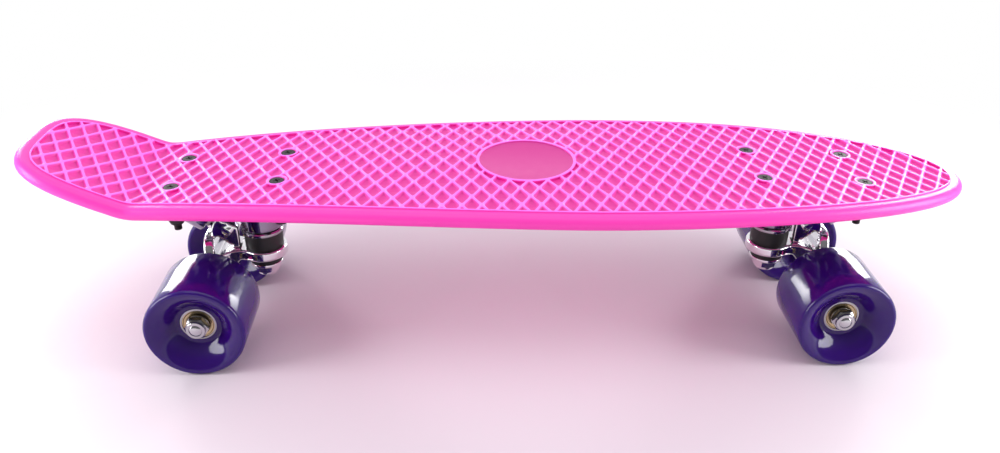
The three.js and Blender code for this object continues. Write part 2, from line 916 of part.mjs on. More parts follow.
// One truck about its seat on the deck, with its kingpin towards +X.
function addTruck(board, { end, x, turn }) {
  const truck = new THREE.Group();
  truck.position.set(x, 0, seatZ);
  truck.rotation.z = turn;
  board.add(truck);
  const sideName = (side) => (side * Math.cos(turn) > 0 ? "left" : "right");

  piece(`${end}_baseplate`, baseplateGeometry(), chromeFinish(), truck);
  piece(`${end}_pivot_cup`, pivotCupGeometry(), cupFinish(), truck);
  piece(`${end}_hanger`, hangerGeometry(), chromeFinish(), truck);
  piece(`${end}_kingpin`, kingpinGeometry(), steelFinish(), truck);
  const cupTop = -kingpinBossDepth - seatGap;
  const boardBushingTop = cupTop - boardCupThickness - seatGap;
  piece(
    `${end}_board_side_washer`,
    cupWasherGeometry(boardCupRadius, cupTop - boardCupThickness, cupTop),
    chromeFinish(),
    truck,
  );
  piece(
    `${end}_board_side_bushing`,
    bushingGeometry(boardBushingRadius, boardBushingTop - boardBushingHeight, boardBushingTop),
    bushingFinish(),
    truck,
  );
  piece(
    `${end}_road_side_bushing`,
    bushingGeometry(roadBushingRadius, roadBushingTopZ - roadBushingHeight, roadBushingTopZ),
    bushingFinish(),
    truck,
  );
  piece(
    `${end}_road_side_washer`,
    cupWasherGeometry(roadWasherRadius, roadWasherTopZ - roadWasherThickness, roadWasherTopZ),
    chromeFinish(),
    truck,
  );
  const kingpinNut = lockNut(kingpinNutAcross, kingpinNutHeight, kingpinNutCollar, kingpinRadius);
  piece(`${end}_kingpin_nut`, atKingpin(kingpinNut), chromeFinish(), truck).position.z =
    kingpinNutTopZ;
  piece(`${end}_axle`, axleGeometry(), steelFinish(), truck);

  [1, -1].forEach((side) => {
    const hub = new THREE.Group();
    hub.position.set(-axleOutboard, side * wheelMiddleY, axleZ);
    hub.rotation.x = (-side * Math.PI) / 2;
    truck.add(hub);
    const label = `${end}_${sideName(side)}`;
    piece(`${label}_wheel`, wheelGeometry(), wheelFinish(), hub);
    const bearingPlace = wheelWidth / 2 - wheelFaceDepth - bearingWidth / 2;
    piece(`${label}_outer_bearing`, bearingGeometry(), steelFinish(), hub).position.z =
      bearingPlace;
    piece(`${label}_inner_bearing`, bearingGeometry(), steelFinish(), hub).position.z =
      -bearingPlace;
    const washerPlace = bearingPlace + bearingWidth / 2 + seatGap;
    piece(`${label}_speed_washer`, speedWasherGeometry(), steelFinish(), hub).position.z =
      washerPlace;
    const nut = lockNut(axleNutAcross, axleNutHeight, axleNutCollar, axleRadius);
    nut.rotateX(Math.PI);
    piece(`${label}_axle_nut`, nut, chromeFinish(), hub).position.z =
      washerPlace + speedWasherThickness + seatGap;
  });
}

const board = new THREE.Group();
piece("deck", deckGeometry(), deckFinish(), board);
boltPlaces.forEach(({ name, x, y }) => {
  const screw = piece(`${name}_deck_screw`, screwGeometry(), blackSteelFinish(), board);
  screw.position.set(x, y, deckHeight(x, y) - screwHeadSink);
  const nut = lockNut(lockNutAcross, lockNutHeight, lockNutCollar, screwRadius);
  piece(`${name}_lock_nut`, nut, blackSteelFinish(), board).position.set(
    x,
    y,
    seatZ - plateThickness - seatGap,
  );
});
truckPlaces.forEach((place) => addTruck(board, place));

export default board;
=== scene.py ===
"""A plastic cruiser skateboard on a white studio floor. Metres, +Z up, +X towards the nose."""
import math

import bmesh
import bpy
from mathutils import Matrix, Vector


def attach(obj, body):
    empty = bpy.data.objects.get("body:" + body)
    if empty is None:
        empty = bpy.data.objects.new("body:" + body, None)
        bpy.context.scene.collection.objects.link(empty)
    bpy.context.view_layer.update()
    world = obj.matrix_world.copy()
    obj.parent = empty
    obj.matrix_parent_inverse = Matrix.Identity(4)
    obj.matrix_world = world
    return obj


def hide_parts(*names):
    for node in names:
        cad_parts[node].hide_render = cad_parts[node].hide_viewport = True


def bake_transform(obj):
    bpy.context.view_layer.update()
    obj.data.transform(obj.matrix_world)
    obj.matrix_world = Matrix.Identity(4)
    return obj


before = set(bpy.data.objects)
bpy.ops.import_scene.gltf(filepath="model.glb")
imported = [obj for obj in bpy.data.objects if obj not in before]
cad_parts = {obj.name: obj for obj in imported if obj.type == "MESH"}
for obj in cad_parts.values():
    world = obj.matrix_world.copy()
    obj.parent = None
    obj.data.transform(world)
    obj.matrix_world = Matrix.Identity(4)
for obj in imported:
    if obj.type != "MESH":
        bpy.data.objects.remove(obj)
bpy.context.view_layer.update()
MM = 0.001

# The camera that was fitted to the photo: its place in metres, its turns in radians, its lens in mm.
EYE_PLACE = (-0.026296, -0.507498, 0.340533)
YAW, PITCH, ROLL = 0.044, 0.502, 0.013
LENS, SENSOR = 31.984, 36
FLOOR_HALF = 3000
# Places on the floor are multiplied by these, so that a distance of 1 is just past the board's ends.
CLOTH_SCALE = (3.0, 3.6, 0)

# The deck, in mm, as it is while still flat, before its kick is bent up.
DECK_TAIL, DECK_NOSE = -294.45, 291.05
DECK_HALF = 75.5
FOLD_X, WIDEST_X = -221.95, 52.65
FOLD_HALF = 49.75
TRUCK_MIDDLE, TRUCK_HALF = 8.95, 180.5
DECK_Z = 110.2
CAMBER, CROWN, CONCAVE, NOSE_RISE = 5.6, 2.7, 1.3, 3.0
KICK, FOLD_LENGTH = math.radians(22.7), 10.0
TAPER_POWER, TAIL_POWER, NOSE_POWER = 1.49, 3.2, 2.12
RIM_DROP, RIM_THICK, RIM_ROUND = 0.8, 8.6, 4.1
FIELD_INSET, FIELD_THICK, FIELD_ROUND, BORDER = 7.2, 3.0, 0.3, 0.9
CELL_X, CELL_Y, CELL_NODE_X, CELL_DEPTH = 11.4, 19.6, 5.85, 1.8
BADGE_X, BADGE_R, BADGE_RING, BADGE_WALL, BADGE_DEPTH, BADGE_FLOOR_FROM = 11.95, 30.9, 1.4, 0.3, 1.4, 1.15
WALL_INSET, RIB_HALF, RIB_FOOT, PLATE_UNDER = 9.5, 1.3, -8.6, -4.6
POCKET_COLUMNS, POCKET_ROWS, POCKET_ROUND = 7, 3, 1.5
SEAT_Z, PAD_MARGIN, PAD_CORNER, PAD_TOP, PAD_SINK = 88.8, 9.5, 3.0, -3.2, 0.3
SCREW_R, SCREW_HEAD_R, SCREW_DROP = 2.35, 4.5, 0.35
SCREW_HOLE_R, SCREW_SEAT_R, SCREW_LIP_R, SCREW_BOSS_R = 2.8, 4.95, 5.2, 6.4
# The painted shade of the cells' floors comes in between these depths and stops short of the rim.
RECESS_FROM, RECESS_TO, RECESS_FADE, RECESS_INSET = 0.9, 2.2, 0.5, 6.0

# The trucks, in mm from the middle of their seat. Each has its pivot towards -X, and the front one is
# then turned round.
BOLT_X, BOLT_Y = 31.75, 20.65
TRUCKS = {"rear": (-171.55, 0.0), "front": (189.45, math.pi)}
CASTING_GRAIN, CASTING_PASSES = 0.7, 5
PLATE_MARGIN, PLATE_CORNER, PLATE_FOOT = 6.8, 6.0, -5.5
KINGPIN_X, KINGPIN_R, KINGPIN_BORE = 14.5, 4.76, 5.0
KINGPIN = Matrix.Translation((KINGPIN_X, 0, 0))
KINGPIN_HEAD, BOSS_FOOT = -6.3, -24.3
UPPER_BUSHING, LOWER_BUSHING = (-39.2, -26.4), (-49.1, -43.3)
RING_FOOT, RING_TOP = -44.7, -37.9
PIVOT, RING = Vector((-25, 0, -13)), Vector((KINGPIN_X, 0, -41.3))
STEER = (PIVOT - RING).normalized()
ALONG_STEER = Matrix.Translation(PIVOT) @ STEER.to_track_quat("Z", "Y").to_matrix().to_4x4()
AXLE_X, AXLE_Z = -15.8, -58.8
AXLE = Matrix.Translation((AXLE_X, 0, AXLE_Z))
ALONG_AXLE = AXLE @ Matrix.Rotation(-math.pi / 2, 4, "X")
HANGER_HALF, AXLE_R = 36.5, 3.97

# The wheels and bearings. The outline, as radius and height above the middle, runs from the seat of a
# bearing through the dish and over the lip to the shoulder.
WHEEL_MIDDLE_Y, WHEEL_R, TREAD_HALF = 49.1, 30.0, 9.0
BEARING_MIDDLE, BEARING_HALF = 8.8, 3.5
WHEEL_HALF = [(9.5, 5.15), (11.06, 5.15), (11.06, 12.3), (13.0, 12.3), (13.6, 12.45), (14.5, 13.15),
              (16.0, 14.75), (18.0, 16.95), (19.4, 18.4), (20.8, 19.6), (22.3, 20.65), (24.1, 21.65),
              (26.0, 22.5), (27.5, 23.05), (28.4, 23.15), (29.1, 22.7), (29.7, 21.8), (30.0, 20.6)]


def finish_piece(bm, name, sharp=32, place=None):
    """Turns a bmesh in millimetres into an object at the origin, in metres."""
    if place is not None:
        bmesh.ops.transform(bm, matrix=place, verts=bm.verts)
    bmesh.ops.scale(bm, vec=(MM, MM, MM), verts=bm.verts)
    mesh = bpy.data.meshes.new(name)
    bm.to_mesh(mesh)
    bm.free()
    mesh.shade_smooth()
    mesh.set_sharp_from_angle(angle=math.radians(sharp))
    piece = bpy.data.objects.new(name, mesh)
    bpy.context.scene.collection.objects.link(piece)
    return piece


def turned(profile, steps=64):
    """A solid of revolution about Z. Its (radius, height) points end on the axis or close on themselves."""
    bm = bmesh.new()
    verts = [bm.verts.new((radius, 0, height)) for radius, height in profile]
    edges = [bm.edges.new(pair) for pair in zip(verts, verts[1:])]
    if profile[0][0] > 0:
        edges.append(bm.edges.new((verts[-1], verts[0])))
    bmesh.ops.spin(bm, geom=verts + edges, cent=(0, 0, 0), axis=(0, 0, 1), dvec=(0, 0, 0),
                   angle=2 * math.pi, steps=steps, use_merge=True, use_duplicate=False)
    bmesh.ops.remove_doubles(bm, verts=bm.verts, dist=0.0005)
    bmesh.ops.recalc_face_normals(bm, faces=bm.faces)
    return bm


def cylinder(radius, low, high, steps=48):
    return turned([(0, low), (radius, low), (radius, high), (0, high)], steps)


def upside_down(profile):
    return [(radius, -height) for radius, height in profile]


def rounded(points, radius, steps=3):
    """The same open profile with each inner corner swapped for a small arc."""
    result = [points[0]]
    for before, corner, after in zip(points, points[1:], points[2:]):
        a, b, c = Vector(before), Vector(corner), Vector(after)
        reach = min(radius, (a - b).length * 0.45, (c - b).length * 0.45)
        start = b + (a - b).normalized() * reach
        end = b + (c - b).normalized() * reach
        for i in range(steps + 1):
            t = i / steps
            result.append(tuple((1 - t) ** 2 * start + 2 * t * (1 - t) * b + t ** 2 * end))
    result.append(points[-1])
    return result


def ring_piece(inner, outer, low, high, fillet):
    return turned(rounded([(inner, low), (outer, low), (outer, high), (inner, high)], fillet), 72)


def rectangle(x0, y0, x1, y1):
    return [(x0, y0), (x1, y0), (x1, y1), (x0, y1)]


def hexagon(corner):
    return [(corner * math.cos(k * math.pi / 3), corner * math.sin(k * math.pi / 3)) for k in range(6)]


def bevelled(bm, edges, width, segments, affect="EDGES", clamp=False):
    """Rounds edges, or the corners of a flat outline where affect is VERTICES."""
    bmesh.ops.bevel(bm, geom=edges, offset=width, offset_type="OFFSET", affect=affect, segments=segments,
                    profile=0.5, material=-1, clamp_overlap=clamp)


def slab(outline, low, high, round_edges=0.0, segments=3):
    """A flat plate from an outline, with its edges rounded."""
    bm = bmesh.new()
    face = bm.faces.new([bm.verts.new((x, y, low)) for x, y in outline])
    grown = bmesh.ops.extrude_face_region(bm, geom=[face])
    top = [v for v in grown["geom"] if isinstance(v, bmesh.types.BMVert)]
    bmesh.ops.translate(bm, vec=(0, 0, high - low), verts=top)
    bmesh.ops.recalc_face_normals(bm, faces=bm.faces)
    if round_edges:
        edges = [e for e in bm.edges if abs(e.verts[0].co.z - e.verts[1].co.z) < 1e-6]
        bevelled(bm, edges, round_edges, segments)
    return bm


def joined(parts):
    """Several bmeshes as one."""
    whole = bmesh.new()
    for part in parts:
        mesh = bpy.data.meshes.new("part")
        part.to_mesh(mesh)
        part.free()
        whole.from_mesh(mesh)
        bpy.data.meshes.remove(mesh)
    return whole


def moved(bm, matrix):
    bmesh.ops.transform(bm, matrix=matrix, verts=bm.verts)
    return bm


def apply_modifiers(piece):
    graph = bpy.context.evaluated_depsgraph_get()
    mesh = bpy.data.meshes.new_from_object(piece.evaluated_get(graph))
    piece.modifiers.clear()
    piece.data = mesh


def flat_object(bm, name):
    """A bmesh as an object still in millimetres."""
    mesh = bpy.data.meshes.new(name)
    bm.to_mesh(mesh)
    bm.free()
    thing = bpy.data.objects.new(name, mesh)
    bpy.context.scene.collection.objects.link(thing)
    return thing


def taken_back(thing):
    """An object's mesh as a bmesh again."""
    bm = bmesh.new()
    bm.from_mesh(thing.data)
    bpy.data.objects.remove(thing)
    return bm


def carve(piece, cutters, operation):
    """Booleans a piece with others, which are then removed."""
    for cutter in cutters:
        step = piece.modifiers.new(operation.lower(), "BOOLEAN")
        step.operation = operation
        step.solver = "MANIFOLD"
        step.object = cutter
    apply_modifiers(piece)
    for cutter in cutters:
        bpy.data.objects.remove(cutter)
    return piece


def side_half(x):
    """Half the deck's width between the fold and the widest place."""
    return DECK_HALF - (DECK_HALF - FOLD_HALF) * ((WIDEST_X - x) / (WIDEST_X - FOLD_X)) ** TAPER_POWER


def deck_outline(inset, tail_steps=14, side_steps=24, nose_steps=30):
    """The flat deck's outline seen from above, drawn in by an inset."""
    left = []
    for i in range(tail_steps):
        angle = i / tail_steps * math.pi / 2
        left.append((FOLD_X - (FOLD_X - DECK_TAIL) * math.cos(angle) ** (2 / TAIL_POWER),
                     FOLD_HALF * math.sin(angle) ** (2 / TAIL_POWER)))
    for i in range(side_steps):
        x = FOLD_X + (WIDEST_X - FOLD_X) * i / side_steps
        left.append((x, side_half(x)))
    for i in range(nose_steps + 1):
        angle = i / nose_steps * math.pi / 2
        left.append((WIDEST_X + (DECK_NOSE - WIDEST_X) * math.sin(angle) ** (2 / NOSE_POWER),
                     DECK_HALF * max(0.0, math.cos(angle)) ** (2 / NOSE_POWER)))
    loop = left + [(x, -y) for x, y in reversed(left[1:-1])]
    result = []
    for i, (x, y) in enumerate(loop):
        ax, ay = loop[i - 1]
        bx, by = loop[(i + 1) % len(loop)]
        length = math.hypot(bx - ax, by - ay)
        result.append((x + (by - ay) / length * inset, y - (bx - ax) / length * inset))
    return result


def half_width(x, inset):
    """Half the deck's width at x, with its outline drawn in by an inset."""
    if x > WIDEST_X:
        share, power, half = (x - WIDEST_X) / (DECK_NOSE - inset - WIDEST_X), NOSE_POWER, DECK_HALF
    elif x > FOLD_X:
        return side_half(x) - inset
    else:
        share, power, half = (FOLD_X - x) / (FOLD_X - DECK_TAIL - inset - 5), TAIL_POWER, FOLD_HALF
    return (half - inset) * max(0.0, 1 - share ** power) ** (1 / power)


def deck_height(x, y):
    """How high the deck's top lies forward of the fold, with its camber and crown."""
    along = (max(x, FOLD_X) - TRUCK_MIDDLE) / TRUCK_HALF
    drop = CROWN - (CROWN + CONCAVE) * along ** 2
    nose = max(0.0, x - TRUCK_MIDDLE - TRUCK_HALF) / (DECK_NOSE - TRUCK_MIDDLE - TRUCK_HALF)
    return DECK_Z - CAMBER * along ** 2 - drop * (y / DECK_HALF) ** 2 + NOSE_RISE * nose ** 2


def kick_angle(x):
    """How far the deck is bent up at a place along the flat deck."""
    return min(max(0.0, FOLD_X + FOLD_LENGTH / 2 - x), FOLD_LENGTH) / FOLD_LENGTH * KICK


def bent_place(x, y, z):
    """Where a point of the flat deck comes to lie, with camber, crown and the kick bent up."""
    past = max(0.0, FOLD_X + FOLD_LENGTH / 2 - x)
    angle = kick_angle(x)
    curve, straight = FOLD_LENGTH / KICK, max(0.0, past - FOLD_LENGTH)
    back = curve * math.sin(angle) + straight * math.cos(angle) - z * math.sin(angle)
    up = curve * (1 - math.cos(angle)) + straight * math.sin(angle) + z * math.cos(angle)
    return x + past - back, y, deck_height(x, y) + up


def depth_below_top(place):
    """How deep a point of the bent deck lies under its top, square to it."""
    x, z = place.x, place.z - deck_height(place.x, place.y)
    if x > FOLD_X + FOLD_LENGTH / 2:
        return -z
    for _ in range(12):
        near = bent_place(x, place.y, z)
        ahead, above, angle = place.x - near[0], place.z - near[2], kick_angle(x)
        x += ahead * math.cos(angle) - above * math.sin(angle)
        z += ahead * math.sin(angle) + above * math.cos(angle)
    return -z


def cell_pocket():
    """One diamond recess with rounded corners. It widens from its floor in steps: share of a cell, rise."""
    bm = bmesh.new()
    bmesh.ops.create_circle(bm, cap_ends=True, segments=4, radius=1,
                            matrix=Matrix.Diagonal((CELL_X / 2, CELL_Y / 2, 1, 1)))
    bevelled(bm, list(bm.verts), 1.5, 2, affect="VERTICES", clamp=True)
    share = floor_share = 0.60
    steps = ((0.70, 0.22), (0.80, 0.86), (0.855, 0.5), (0.93, 0.25), (0.97, 1.0))
    bmesh.ops.scale(bm, vec=(share, share, 1), verts=bm.verts)
    bmesh.ops.translate(bm, vec=(0, 0, -CELL_DEPTH), verts=bm.verts)
    for next_share, rise in steps:
        top = max(bm.faces, key=lambda f: f.calc_center_median().z)
        grown = bmesh.ops.extrude_face_region(bm, geom=[top])
        verts = [v for v in grown["geom"] if isinstance(v, bmesh.types.BMVert)]
        bmesh.ops.scale(bm, vec=(next_share / share, next_share / share, 1), verts=verts)
        bmesh.ops.translate(bm, vec=(0, 0, rise), verts=verts)
        if top.is_valid and share > floor_share:
            bmesh.ops.delete(bm, geom=[top], context="FACES_ONLY")
        share = next_share
    bmesh.ops.recalc_face_normals(bm, faces=bm.faces)
    return bm


def lattice_pockets():
    """All the recesses, side by side. Those that would miss the deck are left out."""
    one = bpy.data.meshes.new("pocket")
    source = cell_pocket()
    source.to_mesh(one)
    source.free()
    bm = bmesh.new()
    for i in range(-54, 53):
        x = CELL_NODE_X + CELL_X / 2 + i * CELL_X / 2
        for j in range(-4, 5):
            y = (j + (0.5 if i % 2 else 0.0)) * CELL_Y
            if abs(y) > DECK_HALF + 4 or not DECK_TAIL - 6 < x < DECK_NOSE + 6:
                continue
            known = len(bm.verts)
            bm.from_mesh(one)
            bm.verts.ensure_lookup_table()
            bmesh.ops.translate(bm, vec=(x, y, 0), verts=bm.verts[known:])
    bpy.data.meshes.remove(one)
    return bm


def bolt_places():
    """The name of each deck screw and its place seen from above."""
    for end, (x, _) in TRUCKS.items():
        for along in (-1, 1):
            for side in (-1, 1):
                outer = (along > 0) == (end == "front")
                name = f"{end}_{'outer' if outer else 'inner'}_{'left' if side > 0 else 'right'}"
                yield name, x + along * BOLT_X, side * BOLT_Y


def bend(body):
    """Splits the flat deck closely at the fold and more widely elsewhere, and bends it."""
    bm = bmesh.new()
    bm.from_mesh(body.data)
    planes = [((FOLD_X + step / 8 * FOLD_LENGTH, 0, 0), (1, 0, 0)) for step in range(-4, 5)]
    planes += [((step * 9.0, 0, 0), (1, 0, 0)) for step in range(-24, 33)]
    planes += [((0, y, 0), (0, 1, 0)) for y in range(-60, 61, 15)]
    for place, across in planes:
        bmesh.ops.bisect_plane(bm, geom=bm.verts[:] + bm.edges[:] + bm.faces[:], dist=0.0005,
                               plane_co=place, plane_no=across)
    bmesh.ops.triangulate(bm, faces=bm.faces, quad_method="BEAUTY", ngon_method="BEAUTY")
    for v in bm.verts:
        v.co = bent_place(*v.co)
    bm.to_mesh(body.data)
    bm.free()


def build_deck():
    """The shell, its lattice, ribs and pads made flat, and then bent."""
    body = slab(deck_outline(0), -RIM_DROP - RIM_THICK, -RIM_DROP, RIM_ROUND, segments=7)
    body = flat_object(body, "deck_body")
    field = slab(deck_outline(FIELD_INSET), -FIELD_THICK, 0.0)
    edges = [e for e in field.edges if min(v.co.z for v in e.verts) > -0.01]
    bevelled(field, edges, FIELD_ROUND, 2)
    carve(body, [flat_object(field, "field")], "UNION")

    pockets = flat_object(lattice_pockets(), "pockets")
    carve(pockets, [flat_object(slab(deck_outline(FIELD_INSET + BORDER), -5, 5), "limit")], "INTERSECT")
    keep = [moved(cylinder(BADGE_R + BADGE_WALL, -6, 6, 96), Matrix.Translation((BADGE_X, 0, 0)))]
    for _, x, y in bolt_places():
        keep.append(moved(cylinder(SCREW_BOSS_R, -6, 6, 40), Matrix.Translation((x, y, 0))))
    carve(pockets, [flat_object(joined(keep), "keep")], "DIFFERENCE")

    under = []
    pitch_x, pitch_y = (DECK_NOSE - FOLD_X) / POCKET_COLUMNS, DECK_HALF * 2 / POCKET_ROWS
    for column in range(-1, POCKET_COLUMNS):
        low = DECK_TAIL if column < 0 else FOLD_X + column * pitch_x
        high = FOLD_X if column < 0 else low + pitch_x
        for row in range(POCKET_ROWS):
            right = row * pitch_y - DECK_HALF
            left = right + pitch_y
            box = slab(rectangle(low + RIB_HALF, right + RIB_HALF, high - RIB_HALF, left - RIB_HALF),
                       -20, PLATE_UNDER)
            bevelled(box, [e for e in box.edges if max(v.co.z for v in e.verts) > -5], POCKET_ROUND, 3)
            under.append(box)
    relief = slab(rectangle(DECK_TAIL, -90, DECK_NOSE, 90), -20, RIB_FOOT)
    under = flat_object(joined(under), "under")
    carve(under, [flat_object(relief, "relief")], "UNION")
    carve(under, [flat_object(slab(deck_outline(WALL_INSET), -30, 0), "inner")], "INTERSECT")
    carve(body, [pockets, under], "DIFFERENCE")

    pads = []
    for x, _ in TRUCKS.values():
        a, b = BOLT_X + PAD_MARGIN, BOLT_Y + PAD_MARGIN
        pad = slab(rectangle(x - a, -b, x + a, b), -24, PAD_TOP)
        upright = [e for e in pad.edges if abs(e.verts[0].co.z - e.verts[1].co.z) > 1]
        bevelled(pad, upright, PAD_CORNER, 4)
        pads.append(pad)
    carve(body, [flat_object(joined(pads), "pads")], "UNION")

    bend(body)

    cuts = []
    badge_top = deck_height(BADGE_X, 0)
    badge_half, badge_low = BADGE_R - BADGE_RING, badge_top - BADGE_DEPTH
    badge = turned([(0, badge_low), (badge_half - 0.5, badge_low), (badge_half - 0.1, badge_top - 1.2),
                    (badge_half, badge_top - 0.6), (badge_half + 0.25, badge_top + 4),
                    (0, badge_top + 4)], 96)
    cuts.append(moved(badge, Matrix.Translation((BADGE_X, 0, 0))))
    for _, x, y in bolt_places():
        top = deck_height(x, y)
        hole = turned([(0, 70), (SCREW_HOLE_R, 70), (SCREW_HOLE_R, top - 3.2), (SCREW_SEAT_R, top - 0.5),
                       (SCREW_LIP_R, top - 0.2), (5.6, top + 3), (0, top + 3)], 40)
        cuts.append(moved(hole, Matrix.Translation((x, y, 0))))
    for x, _ in TRUCKS.values():
        cuts.append(slab(rectangle(x - 60, -45, x + 60, 45), 60, SEAT_Z + PAD_SINK))
    carve(body, [flat_object(joined(cuts), "cuts")], "DIFFERENCE")

    bm = taken_back(body)
    bmesh.ops.remove_doubles(bm, verts=bm.verts, dist=0.002)
    # These layers drive painted light in the deck's colour: the depth under the top lightens the crests as a
    # painted highlight, and the other two mark the floors of the cells and the badge for painted shade.
    depth = bm.verts.layers.float.new("depth")
    recess = bm.verts.layers.float.new("recess")
    badge_floor_shade = bm.verts.layers.float.new("badge_floor_shade")
    for v in bm.verts:
        v[depth] = depth_below_top(v.co)
        # Painted shade for the cells' floors, faded in with depth and kept off the rim.
        if RECESS_FROM < v[depth] < RECESS_TO and abs(v.co.y) < half_width(v.co.x, RECESS_INSET):
            v[recess] = min(1.0, (v[depth] - RECESS_FROM) / RECESS_FADE)
        # Painted shade for the floor of the badge.
        in_badge = math.hypot(v.co.x - BADGE_X, v.co.y) < badge_half
        if in_badge and v[depth] < FIELD_THICK and v.co.z < badge_top - BADGE_FLOOR_FROM:
            v[badge_floor_shade] = 1.0
    return finish_piece(bm, "deck_shell", sharp=38)


def look():
    camera = bpy.data.cameras.new("camera")
    camera.sensor_width = SENSOR
    camera.lens = LENS
    camera.clip_start = 0.01
    forward = Vector((math.sin(YAW) * math.cos(PITCH), math.cos(YAW) * math.cos(PITCH), -math.sin(PITCH)))
    level = Vector((math.cos(YAW), -math.sin(YAW), 0))
    rise = level.cross(forward)
    right = level * math.cos(ROLL) + rise * math.sin(ROLL)
    up = rise * math.cos(ROLL) - level * math.sin(ROLL)
    eye = bpy.data.objects.new("camera", camera)
    eye.matrix_world = Matrix.Translation(EYE_PLACE) @ Matrix((right, up, -forward)).transposed().to_4x4()
    bpy.context.scene.collection.objects.link(eye)
    bpy.context.scene.camera = eye


def lamp(name, place, aim, size, power, spread_angle=math.pi):
    """A softbox that the camera doesn't see."""
    light = bpy.data.lights.new(name, "AREA")
    light.shape = "RECTANGLE"
    light.size, light.size_y = size
    light.energy = power
    light.spread = spread_angle
    thing = bpy.data.objects.new(name, light)
    turn = (Vector(aim) - Vector(place)).to_track_quat("-Z", "Y").to_matrix().to_4x4()
    thing.matrix_world = Matrix.Translation(place) @ turn
    thing.visible_camera = False
    bpy.context.scene.collection.objects.link(thing)


def material(name):
    made = bpy.data.materials.new(name)
    made.use_nodes = True
    nodes, links = made.node_tree.nodes, made.node_tree.links
    return made, nodes, links, nodes["Principled BSDF"]


def ranged(nodes, links, value, source=(0.0, 1.0), target=(0.0, 1.0), smooth=False):
    """A value taken from one range to another."""
    node = nodes.new("ShaderNodeMapRange")
    if smooth:
        node.interpolation_type = "SMOOTHSTEP"
    for socket, amount in zip(("From Min", "From Max", "To Min", "To Max"), (*source, *target)):
        node.inputs[socket].default_value = amount
    links.new(value, node.inputs["Value"])
    return node.outputs["Result"]


def between(nodes, links, value, first, second):
    """A mix of two colours. The first may come from another node."""
    mixed = nodes.new("ShaderNodeMix")
    mixed.data_type = "RGBA"
    if isinstance(first, tuple):
        mixed.inputs["A"].default_value = (*first, 1)
    else:
        links.new(first, mixed.inputs["A"])
    mixed.inputs["B"].default_value = (*second, 1)
    links.new(value, mixed.inputs["Factor"])
    return mixed.outputs["Result"]


def white_cloth():
    """Cloth with painted shade, darker and pinker near the board, that turns white away from it, and is as
    white as the backdrop far off.
    """
    made, nodes, links, shader = material("white_cloth")
    shader.inputs["Roughness"].default_value = 0.8
    place = nodes.new("ShaderNodeTexCoord")
    scaled = nodes.new("ShaderNodeMapping")
    scaled.inputs["Scale"].default_value = CLOTH_SCALE
    links.new(place.outputs["Object"], scaled.inputs["Vector"])
    away = nodes.new("ShaderNodeVectorMath")
    away.operation = "LENGTH"
    links.new(scaled.outputs["Vector"], away.inputs[0])
    # Painted shade: the cloth is darker and pinker near the board, standing in for its shadow and the pink
    # light bounced off the deck.
    painted_shade_fade = ranged(nodes, links, away.outputs["Value"], (0.55, 1.3), smooth=True)
    colour = between(nodes, links, painted_shade_fade, (0.64, 0.56, 0.625), (0.88, 0.88, 0.89))
    links.new(colour, shader.inputs["Base Color"])

    seen = nodes.new("ShaderNodeLightPath")
    either = nodes.new("ShaderNodeMath")
    either.operation = "ADD"
    links.new(seen.outputs["Is Camera Ray"], either.inputs[0])
    links.new(seen.outputs["Is Glossy Ray"], either.inputs[1])
    share = nodes.new("ShaderNodeMath")
    share.operation = "MULTIPLY"
    share.use_clamp = True
    links.new(ranged(nodes, links, away.outputs["Value"], (1.0, 2.0), smooth=True), share.inputs[0])
    links.new(either.outputs["Value"], share.inputs[1])
    white = nodes.new("ShaderNodeEmission")
    blend = nodes.new("ShaderNodeMixShader")
    links.new(share.outputs["Value"], blend.inputs["Fac"])
    links.new(shader.outputs["BSDF"], blend.inputs[1])
    links.new(white.outputs["Emission"], blend.inputs[2])
    links.new(blend.outputs["Shader"], nodes["Material Output"].inputs["Surface"])
    return made


def studio_air():
    """The light all round: a white backdrop, dimmer towards the room in front."""
    world = bpy.data.worlds.new("studio")
    world.use_nodes = True
    nodes, links = world.node_tree.nodes, world.node_tree.links
    direction = nodes.new("ShaderNodeTexCoord")
    split = nodes.new("ShaderNodeSeparateXYZ")
    links.new(direction.outputs["Generated"], split.inputs["Vector"])
    seen = nodes.new("ShaderNodeLightPath")

    def backdrop(front):
        return ranged(nodes, links, split.outputs["Y"], (-0.8, 0.3), (front, 1.0), smooth=True)

    def chosen(ray, otherwise):
        """A switch whose second value is for one kind of ray."""
        choice = nodes.new("ShaderNodeMix")
        links.new(seen.outputs[ray], choice.inputs["Factor"])
        links.new(otherwise, choice.inputs["A"])
        return choice

    mirrored = chosen("Is Glossy Ray", backdrop(0.50))
    links.new(backdrop(0.18), mirrored.inputs["B"])
    strength = chosen("Is Camera Ray", mirrored.outputs["Result"])
    strength.inputs["B"].default_value = 1.0
    background = nodes["Background"]
    background.inputs["Color"].default_value = (1, 0.98, 1, 1)
    links.new(strength.outputs["Result"], background.inputs["Strength"])
    return world


def stage():
    """The floor, the air and the lamps, in metres and watts."""
    bm = bmesh.new()
    bmesh.ops.create_grid(bm, x_segments=8, y_segments=8, size=FLOOR_HALF)
    floor = finish_piece(bm, "studio_floor")
    floor.data.materials.append(white_cloth())
    bpy.context.scene.world = studio_air()
    for side, name in ((-1, "left"), (1, "right")):
        lamp(f"{name}_wall", place=(side * 0.72, -0.2, 0.25), aim=(side * 0.2, 0, 0.05),
             size=(0.31, 0.42), power=3.5)
        lamp(f"{name}_back_softbox", place=(side * 0.86, 1.0, 0.30), aim=(side * 0.19, 0, 0.05),
             size=(0.42, 0.58), power=0.6, spread_angle=math.radians(40))
    lamp("overhead", place=(0, -0.2, 1.4), aim=(0, 0, 0.1), size=(1.4, 0.9), power=3.5)


